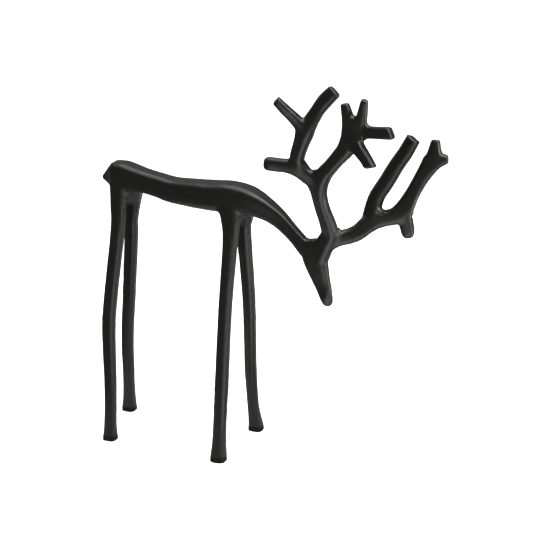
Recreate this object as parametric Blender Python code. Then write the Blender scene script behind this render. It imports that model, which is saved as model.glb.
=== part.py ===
"""A cast iron stag: it stands on four straight legs with its neck stretched forward and its head lowered.

Metres, +Z up. The stag faces +X, and its own right side is -Y. The origin is on the floor, under the
middle of the outline. The whole figure is one casting: squarish rods with rounded edges, run together
with small fillets, and each foot ground flat to stand.
"""

import math

import bmesh
import bpy
import numpy as np
from mathutils import Vector

# Driving dimensions
HEIGHT = 0.300  # floor to the tip of the highest tine
BODY_DEPTH = 0.0190  # back to belly
BODY_WIDTH = 0.0200  # across the back
HEAD_DEPTH = 0.0185  # brow to jaw, at the crown
HEAD_WIDTH = 0.0100  # thickness of the flat, wedge-shaped head
LEG = 0.0092  # across the flats of a leg
FOOT = 0.0110  # across the flats of a foot, which flares from its leg
BEAM = 0.0094  # depth of an antler's beams, seen from the side
TINE = 0.0082  # depth of a tine
PRONG = 0.0064  # depth of the smallest prongs
ANTLER_FLATNESS = 0.92  # an antler's width, left to right, as a share of its depth

# The pose is drawn for a stag 300 units tall, so every place below is a share of HEIGHT.
DRAWN_HEIGHT = 300.0
UNIT = HEIGHT / DRAWN_HEIGHT
FOOT_STUB = 5  # units by which a foot is cast too long, before it is ground flat

# Surface
SQUARENESS = 4.0  # power of the rods' section: 2 is round, more is squarer
RING_POINTS = 16
RING_STEP = 0.003  # distance between two rings along a rod
CELL = 0.0010  # cell of the mesh in which the rods are run together
FILLET_ROUNDS = 60  # more rounds give wider fillets in the forks
SHALLOWEST = 0.01  # mean rise of a crease, in cells, below which it isn't filled
SOFTEN_ROUNDS = 3
FACES = 8600  # triangles that the finished casting keeps
SHARPEST = math.radians(50)  # edges turned by more than this, such as a sole's rim, are shaded sharp

IRON = (0.012, 0.012, 0.013, 1.0)  # black satin lacquer, as linear colour
IRON_ROUGHNESS = 0.42


def smooth_path(stations):
    """Rings along a Catmull-Rom curve through the stations, each of them (x, y, z, depth, width)."""
    points = [np.array(station, float) for station in stations]
    padded = [2 * points[0] - points[1], *points, 2 * points[-1] - points[-2]]
    rings = []
    for before, start, end, after in zip(padded, padded[1:], padded[2:], padded[3:]):
        count = max(2, math.ceil(np.linalg.norm(end[:3] - start[:3]) / RING_STEP))
        for i in range(count):
            t = i / count
            straight = 2 * start + (end - before) * t
            bend = (2 * before - 5 * start + 4 * end - after) * t**2
            twist = (3 * start - before - 3 * end + after) * t**3
            rings.append((straight + bend + twist) / 2)
    rings.append(points[-1])
    return rings


def section():
    """The rods' cross-section, a square with rounded corners, in half-widths."""
    outline = []
    for i in range(RING_POINTS):
        angle = 2 * math.pi * (i + 0.5) / RING_POINTS
        c = math.cos(angle)
        s = math.sin(angle)
        power = 2 / SQUARENESS
        outline.append((math.copysign(abs(c) ** power, c), math.copysign(abs(s) ** power, s)))
    return outline


def add_rod(bm, stations):
    """Adds one closed rod, whose flat sides face the stag's left and right."""
    rings = smooth_path(stations)
    outline = section()
    loops = []
    for i, ring in enumerate(rings):
        ahead = rings[min(i + 1, len(rings) - 1)]
        behind = rings[max(i - 1, 0)]
        along = Vector(ahead[:3] - behind[:3]).normalized()
        side = Vector((0, 1, 0))
        side = (side - side.dot(along) * along).normalized()
        up = along.cross(side) * ring[3] / 2
        side = side * ring[4] / 2
        centre = Vector(ring[:3])
        loops.append([bm.verts.new(centre + up * u + side * v) for u, v in outline])
    for lower, upper in zip(loops, loops[1:]):
        for i in range(RING_POINTS):
            j = (i + 1) % RING_POINTS
            bm.faces.new((lower[i], lower[j], upper[j], upper[i]))
    bm.faces.new(list(reversed(loops[0])))
    bm.faces.new(loops[-1])


def drawn(points, depth, width=None):
    """Stations from drawn points (x, y, z, girth), for a rod of this depth and width where its girth is 1.

    A point may end in a second girth, which is then that of the width alone.
    """
    width = depth if width is None else width
    return [
        (x * UNIT, y * UNIT, z * UNIT, depth * girths[0], width * girths[-1])
        for x, y, z, *girths in points
    ]


def add_body(bm):
    """Rump, back and neck, as one long rod that narrows to the neck, and a wedge for the tail."""
    body = [
        (-120.5, 0, 211.0, 1.06, 0.97),
        (-113.0, 0, 211.5, 1.06, 0.99),
        (-98.0, 0, 209.5, 0.93),
        (-84.0, 0, 206.9, 0.92),
        (-70.0, 0, 204.4, 0.95),
        (-42.0, 0, 204.0, 1.07),
        (-22.0, 0, 204.7, 1.12, 1.10),
        (-6.0, 0, 202.2, 1.00),
        (12.0, 0, 193.8, 0.67),
        (26.0, 0, 181.6, 0.52),
        (37.0, 0, 170.2, 0.62, 0.52),
    ]
    tail = [
        (-116.0, 0.5, 211.0, 1.02, 0.88),
        (-120.5, 0.5, 210.8, 1.02, 0.86),
        (-126.0, 0.3, 209.8, 0.54, 0.50),
        (-131.3, 0, 208.6, 0.10, 0.16),
    ]
    for rod in (body, tail):
        add_rod(bm, drawn(rod, BODY_DEPTH, BODY_WIDTH))


def add_head(bm):
    """A flat wedge: deep at the crown, where both antlers grow, and narrow at the rounded muzzle."""
    head = [
        (40.5, 0, 179.0, 0.80),
        (42.9, 0, 167.4, 0.97),
        (46.4, 0, 155.4, 0.82),
        (50.4, 0, 143.6, 0.62),
        (53.4, 0, 135.0, 0.49, 0.85),
        (54.1, 0, 131.5, 0.40, 0.70),
        (54.3, 0, 129.3, 0.22, 0.50),
    ]
    add_rod(bm, drawn(head, HEAD_DEPTH, HEAD_WIDTH))


def add_legs(bm):
    """Four near-straight rods, a little wavy, that lean outwards from the body to feet that flare."""
    right_hind = [(-115.7, -3.0, 205, 1.5), (-115.3, -6.6, 190, 1.2), (-114.9, -10.6, 171, 1.06),
                  (-120.3, -16.2, 116, 1.02), (-121.6, -18.8, 91, 1.02), (-119.5, -24.0, 41, 0.92),
                  (-119.3, -26.8, 13, 0.94)]
    left_hind = [(-109.9, 1.3, 204, 1.9), (-112.2, 6.2, 190, 1.3), (-114.6, 11.4, 163, 1.07),
                 (-120.8, 16.9, 111, 1.0), (-126.0, 21.2, 71, 0.96), (-128.5, 25.5, 29, 0.91),
                 (-129.6, 27.3, 13, 1.0)]
    right_front = [(-23.1, -1.8, 202, 1.95), (-21.3, -7.0, 186, 1.26), (-20.5, -10.4, 172, 1.08),
                   (-22.7, -16.2, 121, 1.0), (-23.3, -22.0, 71, 1.03), (-23.7, -26.5, 32, 1.0),
                   (-23.8, -28.7, 13, 1.1)]
    left_front = [(-16.5, 2.1, 202, 1.9), (-17.9, 6.9, 187, 1.24), (-18.5, 10.3, 175, 1.06),
                  (-17.3, 17.9, 117, 0.98), (-19.3, 25.0, 61, 0.93), (-19.5, 29.5, 28, 0.88),
                  (-18.8, 31.6, 13, 1.0)]
    legs = [right_hind, left_hind, right_front, left_front]
    soles = [(-119.2, -28.0, 0.96), (-130.3, 28.4, 0.98), (-23.8, -30.0, 1.06), (-18.0, 33.0, 1.03)]
    for leg, (x, y, girth) in zip(legs, soles):
        sole = [(x, y, z, girth) for z in (2, 0, -FOOT_STUB)]
        add_rod(bm, drawn(leg, LEG) + drawn(sole, FOOT))


def add_right_antler(bm):
    """A beam from the crown to a flat palm, and one that branches off it with the back and upper tines."""
    beam = [(45.9, 0, 165, 1.5, 1.12), (51.0, -0.8, 176.5, 1.4, 1.1), (55.8, -2.6, 186.5, 1.2, 1.05),
            (55.0, -5.5, 195.5, 1.1), (52.2, -9.8, 208.5, 1.0), (51.0, -13.0, 219.5, 1.08),
            (52.6, -15.4, 228.5, 1.15), (56.4, -17.3, 236.2, 1.12), (60.8, -19, 241.3, 1.06),
            (67.3, -21, 249, 1.06), (73.5, -22.7, 256.4, 1.2, 1.05), (77.7, -24, 264.5, 1.4, 1.0),
            (79.6, -24.7, 272, 1.5, 0.98), (80.0, -25, 279.5, 1.42, 0.95)]
    back_tine = [(51.3, -11.8, 214, 0.95), (49.8, -14.2, 223, 1.04), (47.3, -16.3, 229.8, 1.07),
                 (43.5, -17.5, 232.9, 1.08), (37.7, -20, 237.4, 1.02), (30.9, -22, 240, 0.98),
                 (23, -24, 240.7, 0.96), (14.6, -26.6, 241.6, 0.90)]
    upper_beam = [(42.5, -18, 235, 0.9), (38.9, -19.3, 239, 1.04), (36.8, -21.5, 245, 1.0),
                  (40.1, -24, 255.4, 1.05), (44.4, -25.6, 266, 1.16), (47.6, -25.2, 273.5, 1.06),
                  (53.1, -22.5, 283.6, 0.94), (57.8, -21, 290.2, 1.04), (64.3, -19.6, 297.2, 0.96)]
    for rod in (beam, back_tine, upper_beam):
        add_rod(bm, drawn(rod, BEAM, BEAM * ANTLER_FLATNESS))
    tines = [
        [(41.6, -25, 262, 1.1), (42.4, -27, 270.6, 1.05), (37.8, -30, 277.7, 0.92), (32.6, -34, 284.2, 0.85),
         (27.2, -37.5, 291, 0.84)],
        [(79, -24.5, 269.9, 1.35, 1.1), (85, -24.7, 271, 1.05), (93.7, -26, 271.8, 0.97),
         (110.2, -32, 274.2, 0.98)],
        [(79, -25, 266, 1.45, 1.1), (85.6, -28.4, 259.8, 1.1), (92, -33, 255, 0.98),
         (97.3, -37.6, 250.2, 0.92)],
    ]
    for tine in tines:
        add_rod(bm, drawn(tine, TINE, TINE * ANTLER_FLATNESS))
    prongs = [
        [(77, -24, 269.5, 1.5, 1.35), (75.5, -23.6, 281.1, 1.12, 1.25), (73, -22, 289.7, 0.8, 1.0)],
        [(81.8, -25, 269.3, 1.6, 1.35), (86.4, -27.2, 281.4, 1.15), (89.6, -30.7, 294.3, 0.7)],
    ]
    for prong in prongs:
        add_rod(bm, drawn(prong, PRONG, PRONG * ANTLER_FLATNESS))


def add_left_antler(bm):
    """It runs forward from the crown to a fork: a long tine, and a beam with a low tine and end prongs."""
    trunk = [(47, 0, 171, 1.45, 1.12), (53.5, 0.8, 177.8, 1.3, 1.1), (60.3, 3, 181.6, 1.15),
             (66.3, 6, 182.9, 1.14), (73.2, 9, 186.0, 1.22), (79.0, 12.5, 191.3, 1.35, 1.2),
             (86, 16.5, 196, 1.35, 1.15)]
    long_tine = [(80.5, 14, 190, 1.2), (81.9, 16.3, 199, 1.28), (82.6, 17.8, 206, 1.14),
                 (84.9, 19.3, 213.4, 1.1), (90.3, 22, 222.8, 1.1), (96, 25, 234.1, 1.08),
                 (102.2, 27.5, 244.5, 1.05), (107.7, 29.4, 255.6, 1.0)]
    front_beam = [(82, 14.5, 194, 1.3, 1.15), (92.4, 18.5, 196.8, 1.17), (98, 20, 198.4, 1.28, 1.15),
                  (103.2, 21.5, 202.2, 1.46, 1.15), (106.1, 23.2, 207.4, 1.3, 1.1), (109.2, 26, 214.9, 1.08),
                  (114.0, 29, 225.4, 1.08), (118.0, 31, 232.9, 1.24, 1.08), (121.4, 32.6, 238.8, 1.5, 1.0)]
    for rod in (trunk, long_tine, front_beam):
        add_rod(bm, drawn(rod, BEAM, BEAM * ANTLER_FLATNESS))
    low_tine = [(103.8, 21.3, 202, 1.35, 1.2), (106.4, 22, 193.5, 1.19), (108.5, 22, 183.4, 0.98)]
    add_rod(bm, drawn(low_tine, TINE, TINE * ANTLER_FLATNESS))
    prongs = [
        [(118.6, 31.6, 235.4, 1.6, 1.45), (121.2, 33.4, 243.2, 1.5, 1.3), (122.8, 35, 249.8, 1.12),
         (123.4, 36, 254.2, 0.8)],
        [(118.4, 31.8, 234.4, 1.6, 1.45), (125.2, 33.6, 238.3, 1.5, 1.3), (129.6, 34.7, 240.3, 1.2),
         (132.5, 35.2, 240.9, 0.95)],
    ]
    for prong in prongs:
        add_rod(bm, drawn(prong, PRONG, PRONG * ANTLER_FLATNESS))


def run_fillets(mesh):
    """Fills the creases where rods meet and leaves every outer edge as it is, as a pattern's wax does."""
    count = len(mesh.vertices)
    places = np.empty(count * 3)
    normals = np.empty(count * 3, np.float32)
    ends = np.empty(len(mesh.edges) * 2, np.int32)
    mesh.edges.foreach_get("vertices", ends)
    first, second = ends.reshape(-1, 2).T
    here = np.concatenate([first, second])
    there = np.concatenate([second, first])
    neighbours = np.bincount(here, minlength=count)
    for _ in range(FILLET_ROUNDS):
        mesh.vertices.foreach_get("co", places)
        mesh.vertex_normals.foreach_get("vector", normals)
        at = places.reshape(-1, 3)
        out = normals.reshape(-1, 3)
        above = ((at[there] - at[here]) * out[here]).sum(axis=1)
        rise = np.bincount(here, np.maximum(above, 0), count) / neighbours
        rise[rise < SHALLOWEST * CELL] = 0
        at += rise[:, None] * out / 2
        mesh.vertices.foreach_set("co", places)
        mesh.update()


def apply_modifiers(obj):
    graph = bpy.context.evaluated_depsgraph_get()
    obj.data = bpy.data.meshes.new_from_object(obj.evaluated_get(graph))
    obj.modifiers.clear()


def cast(obj):
    """Runs the overlapping rods together into one skin, fills its creases, and thins its mesh."""
    remesh = obj.modifiers.new("Run together", "REMESH")
    remesh.mode = "VOXEL"
    remesh.voxel_size = CELL
    apply_modifiers(obj)
    run_fillets(obj.data)
    soften = obj.modifiers.new("Soften", "SMOOTH")
    soften.iterations = SOFTEN_ROUNDS
    thin = obj.modifiers.new("Thin", "DECIMATE")
    obj.data.calc_loop_triangles()
    thin.ratio = FACES / len(obj.data.loop_triangles)
    apply_modifiers(obj)


def stand(obj):
    """Grinds the four feet flat at the floor and puts the origin under the middle of the outline."""
    bm = bmesh.new()
    bm.from_mesh(obj.data)
    everything = bm.verts[:] + bm.edges[:] + bm.faces[:]
    cut = bmesh.ops.bisect_plane(
        bm, geom=everything, plane_co=(0, 0, 0), plane_no=(0, 0, 1), clear_inner=True,
    )
    rims = [edge for edge in cut["geom_cut"] if isinstance(edge, bmesh.types.BMEdge)]
    bmesh.ops.edgeloop_fill(bm, edges=rims)
    xs = [vert.co.x for vert in bm.verts]
    ys = [vert.co.y for vert in bm.verts]
    middle = Vector(((min(xs) + max(xs)) / 2, (min(ys) + max(ys)) / 2, 0))
    bmesh.ops.translate(bm, verts=bm.verts, vec=-middle)
    bmesh.ops.recalc_face_normals(bm, faces=bm.faces)
    bm.to_mesh(obj.data)
    bm.free()


def black_iron():
    material = bpy.data.materials.new("black_iron")
    material.use_nodes = True
    shader = material.node_tree.nodes["Principled BSDF"]
    shader.inputs["Base Color"].default_value = IRON
    shader.inputs["Metallic"].default_value = 0.0
    shader.inputs["Roughness"].default_value = IRON_ROUGHNESS
    return material


for old in list(bpy.data.objects):
    bpy.data.objects.remove(old)

rods = bmesh.new()
for add in (add_body, add_head, add_legs, add_right_antler, add_left_antler):
    add(rods)
bmesh.ops.recalc_face_normals(rods, faces=rods.faces)
stag = bpy.data.objects.new("stag", bpy.data.meshes.new("rods"))
rods.to_mesh(stag.data)
rods.free()
bpy.context.scene.collection.objects.link(stag)

cast(stag)
stand(stag)
stag.data.materials.append(black_iron())
stag.data.shade_smooth()
stag.data.set_sharp_from_angle(angle=SHARPEST)
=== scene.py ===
import math

import bmesh
import bpy
import numpy as np
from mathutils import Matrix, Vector


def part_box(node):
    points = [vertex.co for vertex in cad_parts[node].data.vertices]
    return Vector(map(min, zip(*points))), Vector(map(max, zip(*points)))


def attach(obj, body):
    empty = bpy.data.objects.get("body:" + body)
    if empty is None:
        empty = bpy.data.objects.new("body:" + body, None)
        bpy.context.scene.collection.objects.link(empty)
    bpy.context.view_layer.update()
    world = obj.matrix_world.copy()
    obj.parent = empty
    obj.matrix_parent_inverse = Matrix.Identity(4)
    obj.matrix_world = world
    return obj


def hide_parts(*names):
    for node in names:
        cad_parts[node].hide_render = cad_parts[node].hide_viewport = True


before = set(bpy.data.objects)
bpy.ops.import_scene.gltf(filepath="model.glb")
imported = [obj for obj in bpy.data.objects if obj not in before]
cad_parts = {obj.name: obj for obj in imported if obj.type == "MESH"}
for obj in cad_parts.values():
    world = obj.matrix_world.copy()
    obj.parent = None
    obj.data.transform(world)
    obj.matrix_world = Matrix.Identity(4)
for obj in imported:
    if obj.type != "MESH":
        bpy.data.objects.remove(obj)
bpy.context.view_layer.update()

# Body, neck and tail
# The stag is one iron casting, poured in sand round a hand-carved pattern. Its back is a flat strip with a
# crisp edge, its flanks are flat and its belly is rounder. Each limb is a bar, drawn out ring by ring.
sole_level, top_level = (corner.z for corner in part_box("stag"))
MM = (top_level - sole_level) / 300  # the stag's height is 300 of these
RING_GAP = 4.0  # mm along a bar
BODY_DEPTH = 19.0
BODY_WIDTH = 20.0
BACK_EDGE = 0.26  # the corner radius along the back, as a share of the bar
BELLY_EDGE = 0.46
TAIL_EDGE = 0.12
EDGE_STEPS = 4  # facets round a corner

# A stop is a place on the middle line of a bar, x, y and z in mm, and then its girth as a share of the
# bar: one for depth and one for width, or one for both.
body_line = [
    (-120.5, 0, 211.4, 1.08, 0.97), (-113, 0, 211.8, 1.08, 0.99), (-98, 0, 209.5, 0.93),
    (-84, 0, 206.9, 0.92), (-70, 0, 204.3, 0.98), (-42, 0, 203.7, 1.13), (-22, 0, 204.3, 1.17, 1.10),
    (-6, 0, 202.2, 1.00), (12, 0, 193.7, 0.69, 0.63), (26, 0, 181.5, 0.56, 0.47),
    (37, 0, 170.2, 0.62, 0.48),
]
tail_line = [
    (-116, 0.5, 211.0, 1.02, 0.88), (-120.5, 0.5, 210.8, 1.02, 0.86), (-126, 0.3, 209.8, 0.54, 0.50),
    (-131.3, 0, 208.6, 0.10, 0.16),
]


def smooth_line(stops):
    """Rings along a smooth line through the stops, each ring a place and its two girths."""
    stops = [np.array([*stop[:4], stop[-1]], float) for stop in stops]
    padded = [2 * stops[0] - stops[1], *stops, 2 * stops[-1] - stops[-2]]
    rings = []
    for before, start, end, after in zip(padded, padded[1:], padded[2:], padded[3:]):
        count = max(1, math.ceil(np.linalg.norm(end[:3] - start[:3]) / RING_GAP))
        for i in range(count):
            t = i / count
            straight = 2 * start + (end - before) * t
            bend = (2 * before - 5 * start + 4 * end - after) * t**2
            sway = (3 * start - before - 3 * end + after) * t**3
            rings.append((straight + bend + sway) / 2)
    return rings + [stops[-1]]


def turn(axis, angle, centre):
    """With no window the operator turns the other way, so the angle changes sign."""
    if abs(angle) > 1e-5:
        bpy.ops.transform.rotate(value=-angle, orient_axis=axis, center_override=centre)


def select_where(mesh_object, wanted):
    """Selects, in edit mode, the vertices whose place fits the test, and nothing else."""
    bm = bmesh.from_edit_mesh(mesh_object.data)
    for vert in bm.verts:
        vert.select = wanted(vert.co)
    bm.select_flush_mode()
    bmesh.update_edit_mesh(mesh_object.data)


def draw_bar(name, depth, width, stops, front_edge, back_edge, cut=None, twist=0.0):
    """Draws out a bar of rounded square section, twisted about its length, and saws its end square to cut."""
    rings = smooth_line(stops)
    if cut:
        last = rings[-1]
        heading = last[:3] - rings[-2][:3]
        spare = heading / np.linalg.norm(heading) * depth / 2
        rings.append(np.array([*(last[:3] + spare), *last[3:]]))
    bpy.ops.object.select_all(action="DESELECT")
    bpy.ops.mesh.primitive_plane_add(size=1)
    bar = bpy.context.object
    bar.name = name
    bpy.ops.object.mode_set(mode="EDIT")
    near_corner = 0.499  # of the unit square
    for side, radius in ((-1, front_edge), (1, back_edge)):
        select_where(bar, lambda co: co.x * side > near_corner and abs(co.y) > near_corner)
        bpy.ops.mesh.bevel(offset=radius, segments=EDGE_STEPS, affect="VERTICES")
    bpy.ops.mesh.select_all(action="SELECT")
    at = Vector((0, 0, 0))
    turn("Z", math.radians(twist), at)
    pitch, splay = 0.0, 0.0
    across = Vector((1, 1, 1))
    for i, ring in enumerate(rings):
        ahead = Vector(rings[min(i + 1, len(rings) - 1)][:3] - rings[max(i - 1, 0)][:3]).normalized()
        place = Vector(ring[:3]) * MM
        if i == 0:
            bpy.ops.transform.translate(value=place - at)
        else:
            bpy.ops.mesh.extrude_region_move(TRANSFORM_OT_translate={"value": place - at})
        new_pitch = math.atan2(ahead.x, ahead.z)
        new_splay = -math.asin(ahead.y)
        new_across = Vector((ring[3] * depth * MM, ring[4] * width * MM, 1))
        # The ring is laid flat, taken from the last girths to its own, and tilted to its own heading.
        turn("Y", -pitch, place)
        turn("X", -splay, place)
        bpy.ops.transform.resize(value=[new_across[k] / across[k] for k in range(3)], center_override=place)
        turn("X", new_splay, place)
        turn("Y", new_pitch, place)
        at, pitch, splay, across = place, new_pitch, new_splay, new_across
    bpy.ops.mesh.select_all(action="SELECT")
    bpy.ops.mesh.normals_make_consistent(inside=False)
    if cut:
        bpy.ops.mesh.bisect(plane_co=Vector(last[:3]) * MM, plane_no=cut, use_fill=True, clear_outer=True)
    bpy.ops.object.mode_set(mode="OBJECT")
    return bar


bars = [
    draw_bar("body", BODY_DEPTH, BODY_WIDTH, body_line, BACK_EDGE, BELLY_EDGE),
    draw_bar("tail", BODY_DEPTH, BODY_WIDTH, tail_line, TAIL_EDGE, TAIL_EDGE),
]

# Head
# A flat wedge, deep at the crown where both antlers grow, and narrow at the rounded muzzle, where the front
# corners are filed off to slanting facets. It has no eyes, ears or mouth.
HEAD_DEPTH = 18.5
HEAD_WIDTH = 10.0
HEAD_EDGE = 0.28
FACET_X, FACET_Y, FACET_Z = 50, 8.8, 140  # a point on the left facet, in mm
FACET_FRONT, FACET_SIDE = 0.753, 0.657  # how far a facet faces forwards and sideways
head_line = [
    (40.5, 0, 179.0, 0.80), (42.9, 0, 167.4, 0.97), (46.4, 0, 155.4, 0.82), (50.4, 0, 143.6, 0.62),
    (53.4, 0, 135.0, 0.49, 0.85), (54.1, 0, 131.5, 0.40, 0.70), (54.3, 0, 129.3, 0.22, 0.50),
]
head = draw_bar("head", HEAD_DEPTH, HEAD_WIDTH, head_line, HEAD_EDGE, HEAD_EDGE)
for side in (-1, 1):
    bpy.ops.object.mode_set(mode="EDIT")
    bpy.ops.mesh.select_all(action="SELECT")
    bpy.ops.mesh.bisect(
        plane_co=Vector((FACET_X, side * FACET_Y, FACET_Z)) * MM,
        plane_no=(FACET_FRONT, side * FACET_SIDE, 0), use_fill=True, clear_outer=True,
    )
    bpy.ops.object.mode_set(mode="OBJECT")
bars.append(head)

# Legs
# Four near-straight square bars that lean outwards from the body. They waver a little, as cast wax and
# carved wood do, and flare at the foot. Each runs past the floor, where the casting is ground flat later.
LEG = 9.2
FOOT = 11.0
ANKLE = 2  # above the floor, where the flare is full
FOOT_STUB = 5.0  # what runs past the floor
LEG_EDGE = 0.34
right_hind = [
    (-115.7, -3.0, 205, 1.5), (-115.3, -6.6, 190, 1.2), (-114.9, -10.6, 171, 1.06),
    (-120.3, -16.2, 116, 1.02), (-121.6, -18.8, 91, 1.02), (-119.5, -24.0, 41, 0.92),
    (-119.3, -26.8, 13, 0.94),
]
left_hind = [
    (-108.2, 1.3, 204, 2.2, 1.6), (-110.8, 6.6, 190, 1.55, 1.1), (-113.8, 9.9, 173, 1.13, 1.05),
    (-114.8, 11.8, 160, 1.06), (-120.8, 16.9, 111, 1.0), (-126.0, 21.2, 71, 0.96),
    (-128.5, 25.5, 29, 0.91), (-129.6, 27.3, 13, 1.0),
]
right_front = [
    (-23.1, -1.8, 202, 2.2, 1.95), (-21.3, -7.0, 186, 1.42, 1.26), (-20.5, -10.4, 172, 1.13, 1.08),
    (-22.7, -16.2, 121, 1.0), (-23.3, -22.0, 71, 1.03), (-23.7, -26.5, 32, 1.0), (-23.8, -28.7, 13, 1.1),
]
left_front = [
    (-15.3, 2.1, 202, 2.1, 1.6), (-16.7, 7.5, 187, 1.45, 1.09), (-18.1, 10.3, 175, 1.12, 1.04),
    (-17.3, 17.9, 117, 0.98), (-19.3, 25.0, 61, 0.93), (-19.5, 29.5, 28, 0.88), (-18.8, 31.6, 13, 1.0),
]
# Each leg, with the x, y and girth of its foot.
legs = {
    "right_hind_leg": (right_hind, (-119.2, -28.0, 0.96)),
    "left_hind_leg": (left_hind, (-130.3, 28.4, 0.98)),
    "right_front_leg": (right_front, (-23.8, -30.0, 1.06)),
    "left_front_leg": (left_front, (-18.0, 33.0, 1.03)),
}
for name, (line, (x, y, girth)) in legs.items():
    foot_line = [(x, y, z, girth * FOOT / LEG) for z in (ANKLE, 0, -FOOT_STUB)]
    bars.append(draw_bar(name, LEG, LEG, line + foot_line, LEG_EDGE, LEG_EDGE))

# Right antler
# A beam rises from the crown to a flat palm with two prongs and two tines. A second one branches off it, with
# a rounded back tine and two upper tines. The other tips are sawn off askew, where the iron was poured in.
BEAM = 9.4
TINE = 8.2
PRONG = 6.4
FLATNESS = 0.92
ANTLER_EDGE = 0.32
BEAM_TWIST = -14  # degrees, which turn a beam's near edge to the front
right_beam = [
    (45.9, 0, 165, 1.5, 1.12), (51.0, -0.8, 176.5, 1.4, 1.1), (55.8, -2.6, 186.5, 1.2, 1.05),
    (55.0, -5.5, 195.5, 1.1), (52.2, -9.8, 208.5, 1.0), (51.0, -13.0, 219.5, 1.08),
    (52.6, -15.4, 228.5, 1.15), (56.4, -17.3, 236.2, 1.12), (60.8, -19, 241.3, 1.06),
    (67.3, -21, 249, 1.06), (73.5, -22.7, 256.4, 1.2, 1.05), (77.7, -24, 264.5, 1.4, 1.0),
    (79.6, -24.7, 272, 1.5, 0.98), (80.2, -25, 281.0, 1.35, 0.95),
]
back_tine = [
    (51.3, -11.8, 214, 0.95), (49.8, -14.2, 223, 1.04), (47.3, -16.3, 229.8, 1.07),
    (43.5, -17.5, 232.9, 1.08), (37.7, -20, 237.4, 1.02), (30.9, -22, 240, 0.98), (23, -24, 240.7, 0.96),
    (16.0, -26.2, 241.5, 0.95), (13.7, -26.9, 241.6, 0.62),
]
upper_beam = [
    (42.5, -18, 235, 0.9), (38.9, -19.3, 239, 1.04), (36.8, -21.5, 245, 1.0), (40.1, -24, 255.4, 1.05),
    (44.4, -25.6, 266, 1.16), (47.6, -25.2, 273.5, 1.06), (53.1, -22.5, 283.6, 0.94),
    (57.8, -21, 290.2, 1.04), (64.3, -19.6, 297.2, 0.96),
]
upper_back_tine = [
    (41.6, -25, 262, 1.1), (42.4, -27, 270.6, 1.05), (37.8, -30, 277.7, 0.92), (32.6, -34, 284.2, 0.84),
    (27.2, -37.5, 291, 0.74),
]
level_tine = [
    (79, -24.5, 269.9, 1.35, 1.1), (85, -24.7, 271, 1.05), (93.7, -26, 271.8, 0.97),
    (110.2, -32, 274.2, 0.98),
]
down_tine = [
    (79, -25, 266, 1.45, 1.1), (85.6, -28.4, 259.8, 1.1), (92, -33, 255, 0.98), (97.3, -37.6, 250.2, 0.92),
]
back_prong = [(77, -24.5, 269.5, 1.5, 1.35), (75.8, -25, 281.1, 1.15, 1.3), (73.2, -24.2, 289.7, 0.8, 1.05)]
front_prong = [(81.8, -25, 269.3, 1.6, 1.3), (86.3, -26.2, 281.4, 1.15), (89.3, -29.0, 294.8, 0.7)]
# Each bar, with its section, the way its sawn tip faces, if it has one, and its twist.
right_antler = {
    "right_beam": (BEAM, right_beam, None, BEAM_TWIST),
    "back_tine": (BEAM, back_tine, None, 0),
    "upper_beam": (BEAM, upper_beam, (0.66, 0.15, 0.72), BEAM_TWIST),
    "upper_back_tine": (TINE, upper_back_tine, (-0.7, -0.3, 0.65), 0),
    "level_tine": (TINE, level_tine, (0.9, -0.1, 0.42), 0),
    "down_tine": (TINE, down_tine, (0.25, -0.3, -0.9), 0),
    "back_prong": (PRONG, back_prong, (-0.1, 0.0, 1.0), 0),
    "front_prong": (PRONG, front_prong, (0.1, -0.3, 1.0), 0),
}
for name, (depth, line, cut, twist) in right_antler.items():
    bars.append(draw_bar(name, depth, depth * FLATNESS, line, ANTLER_EDGE, ANTLER_EDGE, cut, twist))

# Left antler
# It runs forward from the crown to a fork: a long tine, and a beam with a low tine, which flares into two
# short rounded prongs. It is cast with the rest, from the same carved bars.
LONG_TINE_TWIST = -16
left_trunk = [
    (47, 0, 171, 1.45, 1.12), (53.5, 0.8, 177.8, 1.3, 1.1), (60.3, 3, 181.6, 1.15), (66.3, 6, 182.9, 1.14),
    (73.2, 9, 186.0, 1.22), (79.0, 12.5, 191.3, 1.35, 1.2), (86, 16.5, 196, 1.35, 1.15),
]
long_tine = [
    (80.5, 14, 190, 1.2), (81.9, 16.3, 199, 1.28), (82.6, 17.8, 206, 1.14), (84.9, 19.3, 213.4, 1.1),
    (90.3, 22, 222.8, 1.1), (96, 25, 234.1, 1.08), (102.2, 27.5, 244.5, 1.05), (107.7, 29.4, 255.6, 1.0),
]
left_beam = [
    (82, 14.5, 194, 1.3, 1.15), (92.4, 18.5, 196.8, 1.17), (98, 20, 198.4, 1.28, 1.15),
    (103.2, 21.5, 202.2, 1.46, 1.15), (106.1, 23.2, 207.4, 1.3, 1.1), (109.2, 26, 214.9, 1.08),
    (114.0, 29, 225.4, 1.08), (118.0, 31, 232.9, 1.24, 1.08), (121.4, 32.6, 238.8, 1.5, 1.0),
]
low_tine = [
    (103.8, 21.3, 202, 1.35, 1.2), (106.4, 22, 193.5, 1.19), (108.2, 22, 185.2, 1.02),
    (108.7, 22, 182.7, 0.66),
]
up_prong = [
    (119.5, 32, 236, 1.75, 1.45), (122.6, 33.4, 243.6, 1.7, 1.3), (122.6, 34.4, 249, 1.25, 1.2),
    (122.8, 35.4, 254.4, 0.88, 0.95),
]
end_prong = [
    (120, 32, 236.5, 1.7, 1.45), (126, 33.6, 240, 1.5, 1.3), (130, 34.7, 240.9, 1.18, 1.15),
    (132.6, 35.2, 241.1, 0.85, 0.95),
]
left_antler = {
    "left_trunk": (BEAM, left_trunk, None, 0),
    "long_tine": (BEAM, long_tine, (0.52, 0.1, 0.84), LONG_TINE_TWIST),
    "left_beam": (BEAM, left_beam, None, 0),
    "low_tine": (TINE, low_tine, None, 0),
    "up_prong": (PRONG, up_prong, None, 0),
    "end_prong": (PRONG, end_prong, None, 0),
}
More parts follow.
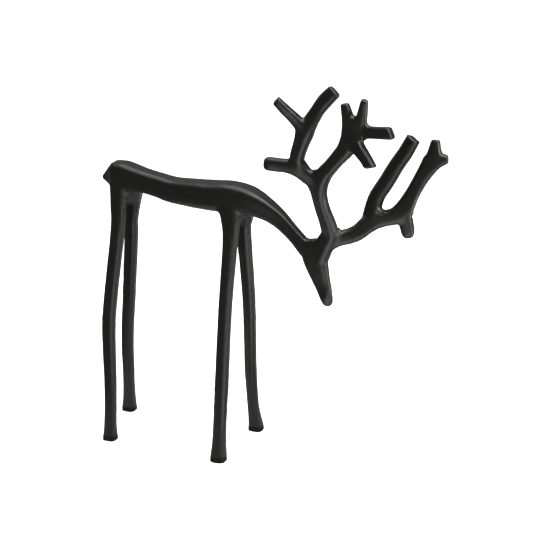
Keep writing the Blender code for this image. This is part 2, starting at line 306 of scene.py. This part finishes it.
for name, (depth, line, cut, twist) in left_antler.items():
    bars.append(draw_bar(name, depth, depth * FLATNESS, line, ANTLER_EDGE, ANTLER_EDGE, cut, twist))

# The casting
# The bars become one iron body. Its inner corners carry the fillets that a pattern maker lays in wax, its
# skin rolls a little as sand castings do, and its four feet are ground flat on the floor.
SETTLED = 0.01 * MM  # the step that the bars' points are put on
SKIN_CELL = 0.9 * MM
FILLET_ROUNDS = 40  # each round finds the hollows again
FILLET_STROKES = 8
HOLLOW = 0.006  # of a cell: a vertex that lies this far below its neighbours is in a hollow
SOFTEN_ROUNDS = 4  # these blunt every edge a little
REGAIN = 0.32 * MM  # what the softening takes off each face
ROLL_LENGTH = 13.0 * MM
ROLL_HEIGHT = 0.45 * MM
CRISP_ANGLE = 50  # degrees, past which an edge stays crisp


def apply_modifier(piece, kind, **settings):
    """Adds a modifier with its settings and applies it."""
    bpy.context.view_layer.objects.active = piece
    modifier = piece.modifiers.new(kind.title(), kind)
    for key, value in settings.items():
        setattr(modifier, key, value)
    bpy.ops.object.modifier_apply(modifier=modifier.name)


def select_hollows(mesh):
    """Selects the vertices that lie below the mean of their neighbours, seen along their normal."""
    count = len(mesh.vertices)
    places = np.empty(count * 3, np.float32)
    normals = np.empty(count * 3, np.float32)
    ends = np.empty(len(mesh.edges) * 2, np.int32)
    mesh.vertices.foreach_get("co", places)
    mesh.vertex_normals.foreach_get("vector", normals)
    mesh.edges.foreach_get("vertices", ends)
    places = places.reshape(-1, 3)
    first, second = ends.reshape(-1, 2).T
    total = np.zeros((count, 3))
    for axis in range(3):
        total[:, axis] += np.bincount(first, places[second, axis], count)
        total[:, axis] += np.bincount(second, places[first, axis], count)
    mean = total / np.bincount(ends, minlength=count)[:, None]
    depth = ((mean - places) * normals.reshape(-1, 3)).sum(axis=1)
    mesh.vertices.foreach_set("select", depth > HOLLOW * SKIN_CELL)
    mesh.edges.foreach_set("select", np.zeros(len(mesh.edges), bool))
    mesh.polygons.foreach_set("select", np.zeros(len(mesh.polygons), bool))


def settle_points(mesh):
    """Bisect leaves its points in another order at each run, and off in the last digit. This settles both."""
    steps = np.round([vert.co / SETTLED for vert in mesh.vertices]).astype(int)
    order = np.lexsort(steps.T)
    rank = np.argsort(order)
    faces = []
    for face in mesh.polygons:
        corners = [int(rank[i]) for i in face.vertices]
        first = corners.index(min(corners))
        faces.append(corners[first:] + corners[:first])
    mesh.clear_geometry()
    mesh.from_pydata(steps[order] * SETTLED, [], sorted(faces))


# Beads of wax, pressed into the inner corners: (x, y, z, radius) in mm.
wax_beads = [
    (61.2, 0.3, 188.4, 2.3), (90.0, -25.5, 275.9, 1.7), (88.6, -26.0, 267.4, 1.6), (49.2, -17, 235.9, 2.3),
    (31.6, -20, 243.9, 2.0), (109.7, 22, 201.7, 2.1),
]
for x, y, z, radius in wax_beads:
    bpy.ops.mesh.primitive_ico_sphere_add(subdivisions=3, radius=radius * MM, location=Vector((x, y, z)) * MM)
    bpy.ops.object.transform_apply(location=True)
    bars.append(bpy.context.object)
bpy.ops.object.select_all(action="DESELECT")
for bar in bars:
    bar.select_set(True)
bpy.context.view_layer.objects.active = bars[0]
bpy.ops.object.join()
stag = bars[0]
stag.name = "iron_stag"
settle_points(stag.data)
apply_modifier(stag, "REMESH", mode="VOXEL", voxel_size=SKIN_CELL)
for _ in range(FILLET_ROUNDS):
    select_hollows(stag.data)
    bpy.ops.object.mode_set(mode="EDIT")
    bpy.ops.mesh.vertices_smooth(factor=0.5, repeat=FILLET_STROKES)
    bpy.ops.object.mode_set(mode="OBJECT")

rolls = bpy.data.textures.new("sand_mould_rolls", "CLOUDS")
rolls.noise_scale = ROLL_LENGTH
rolls.noise_depth = 2
apply_modifier(stag, "DISPLACE", texture=rolls, texture_coords="LOCAL", strength=ROLL_HEIGHT)
apply_modifier(stag, "SMOOTH", factor=0.5, iterations=SOFTEN_ROUNDS)

bpy.ops.object.mode_set(mode="EDIT")
bpy.ops.mesh.select_all(action="SELECT")
bpy.ops.transform.shrink_fatten(value=REGAIN)

# A rough ledge of flash was left along the left antler's fork.
LEDGE_REACH = 2.2 * MM
LEDGE_HEIGHT = 0.45 * MM
ledge_start = Vector((86.4, 12, 200.9)) * MM
ledge_end = Vector((98.4, 15.5, 203.1)) * MM


def near_ledge(co):
    """Whether a place is on the ledge."""
    ledge = ledge_end - ledge_start
    along = (co - ledge_start).dot(ledge) / ledge.length_squared
    return (co - ledge_start.lerp(ledge_end, min(max(along, 0), 1))).length < LEDGE_REACH


select_where(stag, near_ledge)
bpy.ops.transform.vertex_random(offset=LEDGE_HEIGHT, normal=0.6, seed=4)

# The feet are ground flat on the floor, and the casting is brought to its true size.
bpy.ops.mesh.select_all(action="SELECT")
bpy.ops.mesh.bisect(plane_co=(0, 0, 0), plane_no=(0, 0, 1), use_fill=True, clear_inner=True)
bpy.ops.object.mode_set(mode="OBJECT")
shape = np.array([vert.co for vert in stag.data.vertices])
shape_low, shape_high = Vector(shape.min(axis=0)), Vector(shape.max(axis=0))
node_low, node_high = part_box("stag")
node_middle = (node_low + node_high) / 2
fit = [(node_high[i] - node_low[i]) / (shape_high[i] - shape_low[i]) for i in range(3)]
bpy.ops.object.mode_set(mode="EDIT")
bpy.ops.mesh.select_all(action="SELECT")
bpy.ops.transform.translate(value=node_middle - (shape_low + shape_high) / 2)
bpy.ops.transform.resize(value=fit, center_override=node_middle)
bpy.ops.object.mode_set(mode="OBJECT")
bpy.ops.object.shade_smooth_by_angle(angle=math.radians(CRISP_ANGLE))

# Black satin lacquer on sand-cast iron: a thin, near-black film, sprayed over the grain that the sand left.
# The film gives broad, soft highlights, and the grain breaks them up a little.
LACQUER = "0f0e0d"
SATIN_LOW, SATIN_HIGH = 0.29, 0.40  # roughness
GRAIN = 0.9 * MM  # sand grain is nearer 0.3 mm, drawn coarser so that it shows
GRAIN_HEIGHT = 0.07 * MM
ORANGE_PEEL = 3.5 * MM  # the sprayed film dries in low waves of about this length
PEEL_HEIGHT = 0.14 * MM


def linear(hex_colour):
    """An sRGB hex value as linear colour."""
    channels = [int(hex_colour[i:i + 2], 16) / 255 for i in (0, 2, 4)]
    return [c / 12.92 if c <= 0.04045 else ((c + 0.055) / 1.055) ** 2.4 for c in channels] + [1.0]


def add_node(tree, kind, settings=(), inputs=(), links=()):
    """Adds a node, sets its own settings and its inputs' values, and links inputs to other nodes' outputs."""
    node = tree.nodes.new(kind)
    for key, value in dict(settings).items():
        setattr(node, key, value)
    for key, value in dict(inputs).items():
        node.inputs[key].default_value = value
    for key, output in dict(links).items():
        tree.links.new(output, node.inputs[key])
    return node


lacquer = bpy.data.materials.new("black_lacquer_on_cast_iron")
lacquer.use_nodes = True
tree = lacquer.node_tree
film = tree.nodes["Principled BSDF"]
film.inputs["Base Color"].default_value = linear(LACQUER)
film.inputs["IOR"].default_value = 1.5
place = add_node(tree, "ShaderNodeTexCoord").outputs["Object"]
grain = add_node(tree, "ShaderNodeTexNoise", inputs={"Scale": 1 / GRAIN, "Detail": 2.0},
                 links={"Vector": place})
peel = add_node(tree, "ShaderNodeTexNoise", inputs={"Scale": 1 / ORANGE_PEEL, "Detail": 3.0},
                links={"Vector": place})
sheen = add_node(tree, "ShaderNodeMapRange", inputs={"To Min": SATIN_LOW, "To Max": SATIN_HIGH},
                 links={"Value": peel.outputs["Fac"]})
tree.links.new(sheen.outputs["Result"], film.inputs["Roughness"])
waves = add_node(tree, "ShaderNodeBump", inputs={"Strength": 0.6, "Distance": PEEL_HEIGHT},
                 links={"Height": peel.outputs["Fac"]})
grit = add_node(tree, "ShaderNodeBump", inputs={"Strength": 0.9, "Distance": GRAIN_HEIGHT},
                links={"Height": grain.outputs["Fac"], "Normal": waves.outputs["Normal"]})
tree.links.new(grit.outputs["Normal"], film.inputs["Normal"])
stag.data.materials.clear()
stag.data.materials.append(lacquer)
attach(stag, "root")
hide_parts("stag")

# Floor
# A seamless sheet of white paper, which runs on behind the stag past the top of the picture. It glows a
# little, to be as white as the photograph's ground, and the lacquer doesn't mirror it.
SHEET = 80  # metres
bpy.ops.object.select_all(action="DESELECT")
bpy.ops.mesh.primitive_plane_add(size=SHEET)
floor = bpy.context.object
floor.name = "paper_floor"
paper = bpy.data.materials.new("matt_white_paper")
paper.use_nodes = True
paper_shader = paper.node_tree.nodes["Principled BSDF"]
paper_shader.inputs["Base Color"].default_value = linear("f2f2f2")
paper_shader.inputs["Roughness"].default_value = 0.9
paper_shader.inputs["Specular IOR Level"].default_value = 0.0
paper_shader.inputs["Emission Color"].default_value = linear("ffffff")
paper_shader.inputs["Emission Strength"].default_value = 0.9
floor.data.materials.append(paper)
floor.visible_glossy = False

# Camera
# It looks at the stag from its front right and a little above, and stands far enough off to keep the legs
# near straight.
AZIMUTH = math.radians(22)
ELEVATION = math.radians(20)
DISTANCE = 1150 * MM
LENS = 100.18
aim = Vector((13.49, 0.80, 147.1)) * MM
back = Vector((
    math.sin(AZIMUTH) * math.cos(ELEVATION),
    -math.cos(AZIMUTH) * math.cos(ELEVATION),
    math.sin(ELEVATION),
))
bpy.ops.object.camera_add(location=aim + back * DISTANCE, rotation=back.to_track_quat("Z", "Y").to_euler())
camera = bpy.context.object
camera.data.sensor_width = 36
camera.data.lens = LENS
bpy.context.scene.camera = camera

# Studio light
# Two softboxes to the stag's front, a large one overhead, weak ones to its left and behind it, and lit white
# cards on the floor, which the flat sides of the bars mirror as pale strips. Powers are in watts.
CARD_LEVEL = 0.004  # metres, just clear of the floor
world = bpy.data.worlds.new("white_studio")
world.use_nodes = True
world.node_tree.nodes["Background"].inputs["Color"].default_value = linear("ffffff")
world.node_tree.nodes["Background"].inputs["Strength"].default_value = 0.15
bpy.context.scene.world = world


def softbox(name, azimuth, elevation, distance, size, power):
    """A square area light that faces the stag."""
    azimuth, elevation = math.radians(azimuth), math.radians(elevation)
    away = Vector((
        math.sin(azimuth) * math.cos(elevation),
        -math.cos(azimuth) * math.cos(elevation),
        math.sin(elevation),
    ))
    turned = away.to_track_quat("Z", "Y").to_euler()
    bpy.ops.object.light_add(type="AREA", location=aim + away * distance, rotation=turned)
    light = bpy.context.object
    light.name = name
    light.data.size = size
    light.data.energy = power
    light.visible_camera = False


def bounce_card(name, x, y, size, power):
    """A square area light that lies on the floor and faces up."""
    bpy.ops.object.light_add(type="AREA", location=(x, y, CARD_LEVEL), rotation=(math.pi, 0, 0))
    light = bpy.context.object
    light.name = name
    light.data.size = size
    light.data.energy = power
    light.visible_camera = False


softbox("front_softbox", 92, 14, 1.3, 0.6, 11)
softbox("crest_softbox", 90, 55, 1.3, 1.0, 15)
softbox("top_softbox", 180, 80, 1.3, 1.4, 16)
softbox("left_softbox", -110, 20, 1.3, 0.7, 2)
softbox("back_softbox", 200, 24, 1.5, 1.2, 0.5)
bounce_card("front_card", 0.28, -0.28, 0.5, 1.3)
bounce_card("side_card", 0.65, 0.20, 0.4, 2.8)
bounce_card("back_card", -0.1, 0.45, 0.7, 0.6)
bounce_card("under_card", -0.07, -0.02, 0.2, 0.05)
bpy.context.scene.view_settings.view_transform = "Standard"
